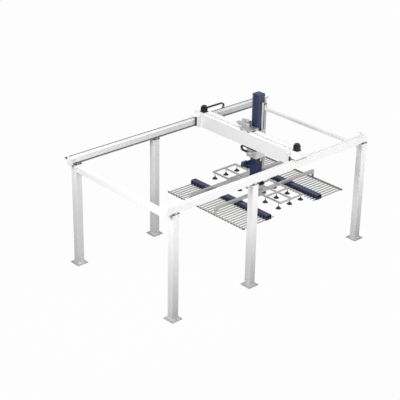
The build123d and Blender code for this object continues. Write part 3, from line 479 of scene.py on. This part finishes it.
def weld_bead(path, outward, swell, centre, level, up):
    """Weld bead round a column: a half-sunk oval cord along the outline.

    With a going once round the cord, a point lies r cos a outwards from the outline and
    0.48 r (1 + sin a) up or down from the level, where r is the swelling radius at that place.
    """
    around = np.linspace(0.0, 2 * math.pi, 8, endpoint=False) * up
    rings = []
    for (px, py), (nx, ny), r in zip(path, outward, swell):
        rings.append([(centre[0] + px + nx * r * math.cos(a),
                       centre[1] + py + ny * r * math.cos(a),
                       level + up * r * 0.48 * (1 + math.sin(a))) for a in around])
    return loft(rings, closed=True)


def screw_head(radius, place, normal, along, proud=0.0003):
    """Screw head with a bevelled rim and a hexagonal socket, standing on a point.

    Round rings have the radius times their size. On a hexagonal ring the radius is also
    multiplied by cos 30 / cos b, with b the angle from the middle of the nearest side.
    """
    normal = np.array(normal, float)
    along = np.array(along, float)
    across = np.cross(normal, along)
    steps = 12
    sector = math.pi / 6
    rings = []
    for size, level, hexagonal in ((1.0, -0.0008, False), (1.0, proud * 0.5, False),
                                   (0.93, proud, False), (0.52, proud, True),
                                   (0.50, proud * 0.5 - 0.00075, True)):
        ring = []
        for index in range(steps):
            a = 2 * math.pi * index / steps
            r = radius * size
            if hexagonal:
                r *= math.cos(sector) / math.cos((a % (2 * sector)) - sector)
            ring.append(tuple(np.array(place) + along * r * math.cos(a)
                              + across * r * math.sin(a) + normal * level))
        rings.append(ring)
    return loft(rings)


def screw_row(p, start, end, normal, along):
    """Screws along a line at the spacing of the settings, with equal ends left over."""
    start = np.array(start, float)
    end = np.array(end, float)
    length = np.linalg.norm(end - start)
    count = int((length - p.spacing / 2) / p.spacing) + 1
    spare = (length - (count - 1) * p.spacing) / 2
    unit = (end - start) / length
    return [screw_head(p.radius, start + unit * (spare + index * p.spacing), normal, along)
            for index in range(count)]


def tube_cap(p, middle, reach, face, axis, sign):
    """Cap on the end of a tube, lofted outwards along an axis with a bevelled rim.

    Its outline is a superellipse |u|^6 + |v|^6 = 1: at an angle a, u is the cube root of cos a
    and v the cube root of sin a. The rings are that outline times their size.
    """
    angles = np.linspace(0.0, 2 * math.pi, 32, endpoint=False)
    outline = np.stack([np.sign(wave) * np.abs(wave) ** (1 / 3)
                        for wave in (np.cos(angles), np.sin(angles))], axis=1)
    rings = []
    for size, out in ((1.0, -0.0004), (1.0, p.length * 0.7), (0.95, p.length), (0.6, p.length)):
        depth = face + sign * out
        flat = [(middle[0] + u * reach[0], middle[1] + v * reach[1]) for u, v in outline * size]
        rings.append([(depth, across, up) if axis == "x" else (across, depth, up)
                      for across, up in flat])
    if (sign > 0) == (axis == "y"):
        rings = [ring[::-1] for ring in rings]
    return loft(rings)


# Settings

class GantryFinishSettings(bpy.types.PropertyGroup):
    white: bpy.props.FloatVectorProperty(
        name="White", description="Powder coat of the columns and all beams", subtype="COLOR",
        size=3, default=(0.86, 0.86, 0.855), min=0.0, max=1.0)
    grey: bpy.props.FloatVectorProperty(
        name="Light grey", description="Paint of the floor plates", subtype="COLOR",
        size=3, default=(0.46, 0.46, 0.455), min=0.0, max=1.0)
    navy: bpy.props.FloatVectorProperty(
        name="Navy", description="Paint of the mast and the guide bars", subtype="COLOR",
        size=3, default=(0.013, 0.022, 0.082), min=0.0, max=1.0)
    silver: bpy.props.FloatVectorProperty(
        name="Silver", description="Aluminium of the gripper frame and the geared motors",
        subtype="COLOR", size=3, default=(0.73, 0.715, 0.705), min=0.0, max=1.0)


class GantryCupSettings(bpy.types.PropertyGroup):
    radius: bpy.props.FloatProperty(
        name="Lip radius", description="Radius of a suction cup at its lip", subtype="DISTANCE",
        unit="LENGTH", default=0.082, min=0.01)
    height: bpy.props.FloatProperty(
        name="Height", description="Height of a suction cup", subtype="DISTANCE", unit="LENGTH",
        default=0.096, min=0.01)
    wall: bpy.props.FloatProperty(
        name="Wall", description="Thickness of the rubber at the lip", subtype="DISTANCE",
        unit="LENGTH", default=0.0032, min=0.001)


class GantryChainSettings(bpy.types.PropertyGroup):
    plate: bpy.props.FloatProperty(
        name="Side plate", description="Thickness of a link's side plate", subtype="DISTANCE",
        unit="LENGTH", default=0.005, min=0.001)
    pitch: bpy.props.FloatProperty(
        name="Pitch", description="Length of one link", subtype="DISTANCE", unit="LENGTH",
        default=0.050, min=0.01)


class GantryWeldSettings(bpy.types.PropertyGroup):
    radius: bpy.props.FloatProperty(
        name="Bead radius", description="Radius of a weld bead", subtype="DISTANCE", unit="LENGTH",
        default=0.005, min=0.001)
    ripple: bpy.props.FloatProperty(
        name="Ripple", description="Spacing of the ripples along a bead", subtype="DISTANCE",
        unit="LENGTH", default=0.011, min=0.002)


class GantryScrewSettings(bpy.types.PropertyGroup):
    radius: bpy.props.FloatProperty(
        name="Head radius", description="Radius of a rail screw's head", subtype="DISTANCE",
        unit="LENGTH", default=0.0065, min=0.001)
    spacing: bpy.props.FloatProperty(
        name="Spacing", description="Distance between the screws of a rail", subtype="DISTANCE",
        unit="LENGTH", default=0.105, min=0.02)
    tine_radius: bpy.props.FloatProperty(
        name="Tine screw radius", description="Radius of the screw that holds a tine to its comb",
        subtype="DISTANCE", unit="LENGTH", default=0.020, min=0.001)
    tine_height: bpy.props.FloatProperty(
        name="Tine screw height", description="Height of the screw that holds a tine to its comb",
        subtype="DISTANCE", unit="LENGTH", default=0.014, min=0.0005)


class GantryCapSettings(bpy.types.PropertyGroup):
    length: bpy.props.FloatProperty(
        name="Length", description="How far an end cap stands out of its tube", subtype="DISTANCE",
        unit="LENGTH", default=0.014, min=0.001)
    lip: bpy.props.FloatProperty(
        name="Lip", description="Step between the rim of a cap and the tube's faces",
        subtype="DISTANCE", unit="LENGTH", default=0.001, min=0.0)


# Operators

class GANTRY_OT_finishes(bpy.types.Operator):
    """Give every part its own procedural finish"""
    bl_idname = "gantry.finishes"
    bl_label = "Finishes"

    def execute(self, context):
        tones = context.scene.gantry_finish
        made = {
            "white_paint": paint("white_paint", tones.white, 0.42, PRIMER, 0.35, 0.55),
            "grey_paint": paint("grey_paint", tones.grey, 0.46, PRIMER, 0.35, 0.5),
            "navy_paint": paint("navy_paint", tones.navy, 0.36, BARE_STEEL, 0.5),
            "dark_steel": cast("dark_steel", (0.05, 0.05, 0.055), 0.55),
            "bright_steel": metal("bright_steel", (0.86, 0.86, 0.86), 0.32,
                                  (3.0, 260.0, 260.0), 0.08, 1.1, 0.15),
            "rack_steel": metal("rack_steel", (0.32, 0.315, 0.31), 0.42,
                                (90.0, 90.0, 260.0), 0.35),
            "zinc": metal("zinc", (0.62, 0.62, 0.60), 0.38, (60.0, 60.0, 60.0), 0.3),
            "aluminium": metal("aluminium", tones.silver, 0.40, (6.0, 180.0, 180.0), 0.10),
            "black_motor": cast("black_motor", (0.010, 0.010, 0.011), 0.40, 0.08),
            "black_plastic": moulded("black_plastic", (0.022, 0.022, 0.024), 0.48, 900.0, 0.15),
            "black_rubber": moulded("black_rubber", (0.016, 0.016, 0.016), 0.72, 700.0, 0.25),
            "pale_rubber": moulded("pale_rubber", (0.66, 0.66, 0.64), 0.60, 700.0, 0.10),
        }
        for part in frame["record"]["subparts"]:
            for slot in frame["nodes"][part["node"]].material_slots:
                slot.material = made[part["material_slot"]]
        return {"FINISHED"}


class GANTRY_OT_cups(bpy.types.Operator):
    """Turn the bell of every suction cup with a rounded lip and a hollow inside"""
    bl_idname = "gantry.cups"
    bl_label = "Suction cups"

    def execute(self, context):
        p = context.scene.gantry_cups
        low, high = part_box("suction_cups")
        profile = cup_profile(p)
        xs = (low[0] + p.radius, (low[0] + high[0]) / 2, high[0] - p.radius)
        ys = np.linspace(low[1] + p.radius, high[1] - p.radius, CUPS_ALONG)
        points, faces = join([lathe(profile, (x, y, high[2]), 40) for x in xs for y in ys])
        add_piece("cup_bells", points, faces, bpy.data.materials["black_rubber"], "cups",
                  "black_rubber", smooth=True, parts=["suction_cups"])
        return {"FINISHED"}


class GANTRY_OT_chains(bpy.types.Operator):
    """Build both energy chains link by link: two side plates and two cross bars each"""
    bl_idname = "gantry.chains"
    bl_label = "Energy chains"

    def execute(self, context):
        p = context.scene.gantry_chains
        black = bpy.data.materials["black_plastic"]
        low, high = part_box("bridge_chain")
        middle = (low[1] + high[1]) / 2
        points, faces = chain_links(p, (low[0], high[0]), (low[2], high[2]), high[1] - low[1],
                                    BRIDGE_LINK, BRIDGE_LOWER_RUN, p.pitch)
        points = [(along, middle + across, up) for along, across, up in points]
        add_piece("bridge_chain_links", points, faces, black, "bridge", "black_plastic",
                  parts=["bridge_chain"])
        low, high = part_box("cross_chain")
        middle = (low[0] + high[0]) / 2
        points, faces = chain_links(p, (low[1], high[1]), (low[2], high[2]), high[0] - low[0],
                                    CROSS_LINK, CROSS_LOWER_RUN, p.pitch * 0.9)
        points = [(middle - across, along, up) for along, across, up in points]
        add_piece("cross_chain_links", points, faces, black, "carriage", "black_plastic",
                  parts=["cross_chain"])
        return {"FINISHED"}


class GANTRY_OT_welds(bpy.types.Operator):
    """Lay a weld bead that swells at every ripple round the foot and the head of every column"""
    bl_idname = "gantry.welds"
    bl_label = "Weld beads"

    def execute(self, context):
        p = context.scene.gantry_welds
        low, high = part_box("columns")
        path, outward, s = column_outline(260)
        swell = p.radius * (1.0 + 0.10 * np.sin(2 * math.pi * s / p.ripple))
        shapes = [weld_bead(path, outward, swell, (x, y), level, up)
                  for x in (low[0] + COLUMN_HALF, MIDDLE_COLUMN_X, high[0] - COLUMN_HALF)
                  for y in (low[1] + COLUMN_HALF, high[1] - COLUMN_HALF)
                  for level, up in ((COLUMN_FOOT, 1.0), (float(high[2]), -1.0))]
        add_piece("column_welds", *join(shapes), bpy.data.materials["white_paint"], "frame",
                  "white_paint", smooth=True)
        return {"FINISHED"}


class GANTRY_OT_screws(bpy.types.Operator):
    """Set socket screws into every linear rail and, at each tine, into a comb's outer bar"""
    bl_idname = "gantry.screws"
    bl_label = "Screws"

    def execute(self, context):
        p = context.scene.gantry_screws
        steel = bpy.data.materials["bright_steel"]
        low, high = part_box("runway_rails")
        shapes = []
        for y in (low[1] + RUNWAY_RAIL_HALF, high[1] - RUNWAY_RAIL_HALF):
            shapes += screw_row(p, (low[0], y, high[2]), (high[0], y, high[2]),
                                (0, 0, 1), (1, 0, 0))
        add_piece("runway_rail_screws", *join(shapes), steel, "frame", "bright_steel")

        low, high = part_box("beam_rails")
        shapes = []
        for x in (low[0] + BEAM_RAIL_HALF, SECOND_BEAM_RAIL_X):
            shapes += screw_row(p, (x, low[1], high[2]), (x, high[1], high[2]),
                                (0, 0, 1), (0, 1, 0))
        level = low[2] + BACK_RAIL_HALF
        shapes += screw_row(p, (high[0], low[1], level), (high[0], high[1], level),
                            (1, 0, 0), (0, 1, 0))
        add_piece("beam_rail_screws", *join(shapes), steel, "bridge", "bright_steel")

        low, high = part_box("mast_rails")
        middle = (low[0] + high[0]) / 2
        shapes = []
        for y, side in ((low[1], -1), (high[1], 1)):
            shapes += screw_row(p, (middle, y, low[2]), (middle, y, high[2]),
                                (0, side, 0), (0, 0, 1))
        add_piece("mast_rail_screws", *join(shapes), steel, "mast", "bright_steel")

        for side, name in ((0, "near"), (1, "far")):
            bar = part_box(f"comb_{name}_frame")
            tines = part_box(f"comb_{name}_tines")
            level = (tines[0][2] + tines[1][2]) / 2
            ys = np.linspace(tines[0][1] + TINE_HALF, tines[1][1] - TINE_HALF, TINES)
            shapes = [screw_head(p.tine_radius, (bar[side][0], y, level), (2 * side - 1, 0, 0),
                                 (0, 1, 0), p.tine_height) for y in ys]
            add_piece(f"comb_{name}_screws", *join(shapes), bpy.data.materials["dark_steel"],
                      f"comb_{name}", "dark_steel")
        return {"FINISHED"}


class GANTRY_OT_caps(bpy.types.Operator):
    """Close the ends of the combs' outer bars and of the gripper's long arms with caps"""
    bl_idname = "gantry.caps"
    bl_label = "End caps"

    def execute(self, context):
        p = context.scene.gantry_caps
        for name in ("near", "far"):
            low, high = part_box(f"comb_{name}_frame")
            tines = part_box(f"comb_{name}_tines")
            middle = ((low[0] + high[0]) / 2, (tines[0][2] + tines[1][2]) / 2)
            reach = ((high[0] - low[0]) / 2 + p.lip, COMB_BAR_HALF + p.lip)
            shapes = [tube_cap(p, middle, reach, face, "y", sign)
                      for face, sign in ((low[1], -1), (high[1], 1))]
            add_piece(f"comb_{name}_caps", *join(shapes), bpy.data.materials["black_plastic"],
                      f"comb_{name}", "black_plastic")
        low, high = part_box("gripper_arms")
        half = (high[2] - low[2]) / 2
        shapes = [tube_cap(p, (y, low[2] + half), (half - p.lip, half - p.lip), face, "x", sign)
                  for y in (low[1] + half, high[1] - half)
                  for face, sign in ((low[0], -1), (high[0], 1))]
        add_piece("arm_caps", *join(shapes), bpy.data.materials["aluminium"], "mast", "aluminium")
        return {"FINISHED"}


# Stage

def ray_share(tree, camera, glossy):
    """Factor from a light path: one share for camera rays, another for glossy rays."""
    path = tree.nodes.new("ShaderNodeLightPath")
    seen = tree.nodes.new("ShaderNodeMath")
    seen.operation = "MULTIPLY"
    seen.inputs[1].default_value = camera
    tree.links.new(path.outputs["Is Camera Ray"], seen.inputs[0])
    share = tree.nodes.new("ShaderNodeMath")
    share.operation = "MULTIPLY_ADD"
    share.inputs[1].default_value = glossy
    share.use_clamp = True
    tree.links.new(path.outputs["Is Glossy Ray"], share.inputs[0])
    tree.links.new(seen.outputs[0], share.inputs[2])
    return share.outputs[0]


def blend_to(tree, factor, first, second, output):
    """Mix two shaders into an output node."""
    blend = tree.nodes.new("ShaderNodeMixShader")
    for number, value in enumerate((factor, first, second)):
        tree.links.new(value, blend.inputs[number])
    tree.links.new(blend.outputs[0], tree.nodes[output].inputs["Surface"])


def lay_floor(scene):
    """Flat grid under the machine: grey for the light it sends back, white to the camera."""
    steps = np.linspace(-FLOOR_REACH, FLOOR_REACH, FLOOR_SQUARES + 1)
    points = [(x, y, FLOOR_LEVEL) for y in steps for x in steps]
    row = FLOOR_SQUARES + 1
    faces = [(r * row + c, r * row + c + 1, (r + 1) * row + c + 1, (r + 1) * row + c)
             for r in range(FLOOR_SQUARES) for c in range(FLOOR_SQUARES)]
    mesh = bpy.data.meshes.new("floor")
    mesh.from_pydata(points, [], faces)
    ground = bpy.data.objects.new("floor", mesh)
    scene.collection.objects.link(ground)
    material = bpy.data.materials.new("floor")
    material.use_nodes = True
    material.cycles.emission_sampling = "NONE"
    tree = material.node_tree
    shader = tree.nodes["Principled BSDF"]
    shader.inputs["Base Color"].default_value = (0.22, 0.22, 0.22, 1.0)
    shader.inputs["Roughness"].default_value = 0.9
    glow = tree.nodes.new("ShaderNodeEmission")
    glow.inputs["Strength"].default_value = 1.0
    blend_to(tree, ray_share(tree, 0.98, 0.45), shader.outputs[0], glow.outputs[0],
             "Material Output")
    mesh.materials.append(material)


def light_sky(scene):
    """Weak blue-white light all round, and white to the camera."""
    world = bpy.data.worlds.new("studio")
    scene.world = world
    world.use_nodes = True
    tree = world.node_tree
    dim = tree.nodes["Background"]
    dim.inputs["Color"].default_value = (0.93, 0.95, 1.0, 1.0)
    dim.inputs["Strength"].default_value = 0.12
    clear = tree.nodes.new("ShaderNodeBackground")
    clear.inputs["Color"].default_value = (1.0, 1.0, 1.0, 1.0)
    clear.inputs["Strength"].default_value = 1.0
    blend_to(tree, ray_share(tree, 1.0, 0.4), dim.outputs[0], clear.outputs[0], "World Output")


def hang_lamps(scene):
    """Soft rectangular lamps, each turned towards the point it lights."""
    for name, power, place, aim, width, height in LAMPS:
        lamp = bpy.data.lights.new(name, "AREA")
        lamp.shape = "RECTANGLE"
        lamp.energy = power
        lamp.size = width
        lamp.size_y = height
        source = bpy.data.objects.new(name, lamp)
        source.location = place
        source.visible_camera = False
        x, y, z = np.array(aim) - np.array(place)
        source.rotation_euler = (math.atan2(math.hypot(x, y), -z), 0.0,
                                 math.atan2(y, x) - math.pi / 2)
        scene.collection.objects.link(source)


def set_camera(scene):
    """Camera of the photograph, from its place and its three angles."""
    lens = bpy.data.cameras.new("camera")
    lens.sensor_width = CAMERA_SENSOR
    lens.lens = CAMERA_LENS
    lens.clip_end = 200.0
    camera = bpy.data.objects.new("camera", lens)
    azimuth, elevation, roll = (math.radians(angle) for angle in CAMERA_ANGLES)
    back = np.array([math.sin(azimuth) * math.cos(elevation),
                     -math.cos(azimuth) * math.cos(elevation), math.sin(elevation)])
    level = np.array([math.cos(azimuth), math.sin(azimuth), 0.0])
    upright = np.cross(back, level)
    right = math.cos(roll) * level + math.sin(roll) * upright
    up = math.cos(roll) * upright - math.sin(roll) * level
    matrix = np.eye(4)
    matrix[:3] = np.stack([right, up, back, CAMERA_PLACE], axis=1)
    camera.matrix_world = Matrix(matrix.tolist())
    scene.collection.objects.link(camera)
    scene.camera = camera


class GANTRY_OT_stage(bpy.types.Operator):
    """Set the floor, the soft lights and the camera of the photograph"""
    bl_idname = "gantry.stage"
    bl_label = "Stage"

    def execute(self, context):
        scene = context.scene
        lay_floor(scene)
        light_sky(scene)
        hang_lamps(scene)
        set_camera(scene)
        scene.view_settings.view_transform = "Standard"
        return {"FINISHED"}


class GANTRY_PT_panel(bpy.types.Panel):
    """Sidebar panel with the settings and one button for each group"""
    bl_label = "Gantry robot"
    bl_idname = "GANTRY_PT_panel"
    bl_space_type = "VIEW_3D"
    bl_region_type = "UI"
    bl_category = "Gantry robot"

    def draw(self, context):
        layout = self.layout
        for attribute, settings, operator in GROUPS:
            box = layout.box()
            for name in settings.__annotations__:
                box.prop(getattr(context.scene, attribute), name)
            box.operator(operator.bl_idname)
        layout.operator(GANTRY_OT_stage.bl_idname)


GROUPS = (
    ("gantry_finish", GantryFinishSettings, GANTRY_OT_finishes),
    ("gantry_cups", GantryCupSettings, GANTRY_OT_cups),
    ("gantry_chains", GantryChainSettings, GANTRY_OT_chains),
    ("gantry_welds", GantryWeldSettings, GANTRY_OT_welds),
    ("gantry_screws", GantryScrewSettings, GANTRY_OT_screws),
    ("gantry_caps", GantryCapSettings, GANTRY_OT_caps),
)


def register():
    """Add the settings, the operators and the panel to Blender."""
    for attribute, settings, operator in GROUPS:
        bpy.utils.register_class(settings)
        setattr(bpy.types.Scene, attribute, bpy.props.PointerProperty(type=settings))
        bpy.utils.register_class(operator)
    bpy.utils.register_class(GANTRY_OT_stage)
    bpy.utils.register_class(GANTRY_PT_panel)


def unregister():
    """Take them out again, in the opposite order."""
    bpy.utils.unregister_class(GANTRY_PT_panel)
    bpy.utils.unregister_class(GANTRY_OT_stage)
    for attribute, settings, operator in reversed(GROUPS):
        bpy.utils.unregister_class(operator)
        delattr(bpy.types.Scene, attribute)
        bpy.utils.unregister_class(settings)


def main():
    """Build everything round the CAD."""
    register()
    bpy.ops.gantry.finishes()
    bpy.ops.gantry.cups()
    bpy.ops.gantry.chains()
    bpy.ops.gantry.welds()
    bpy.ops.gantry.screws()
    bpy.ops.gantry.caps()
    bpy.ops.gantry.stage()


if __name__ == "__main__":
    main()
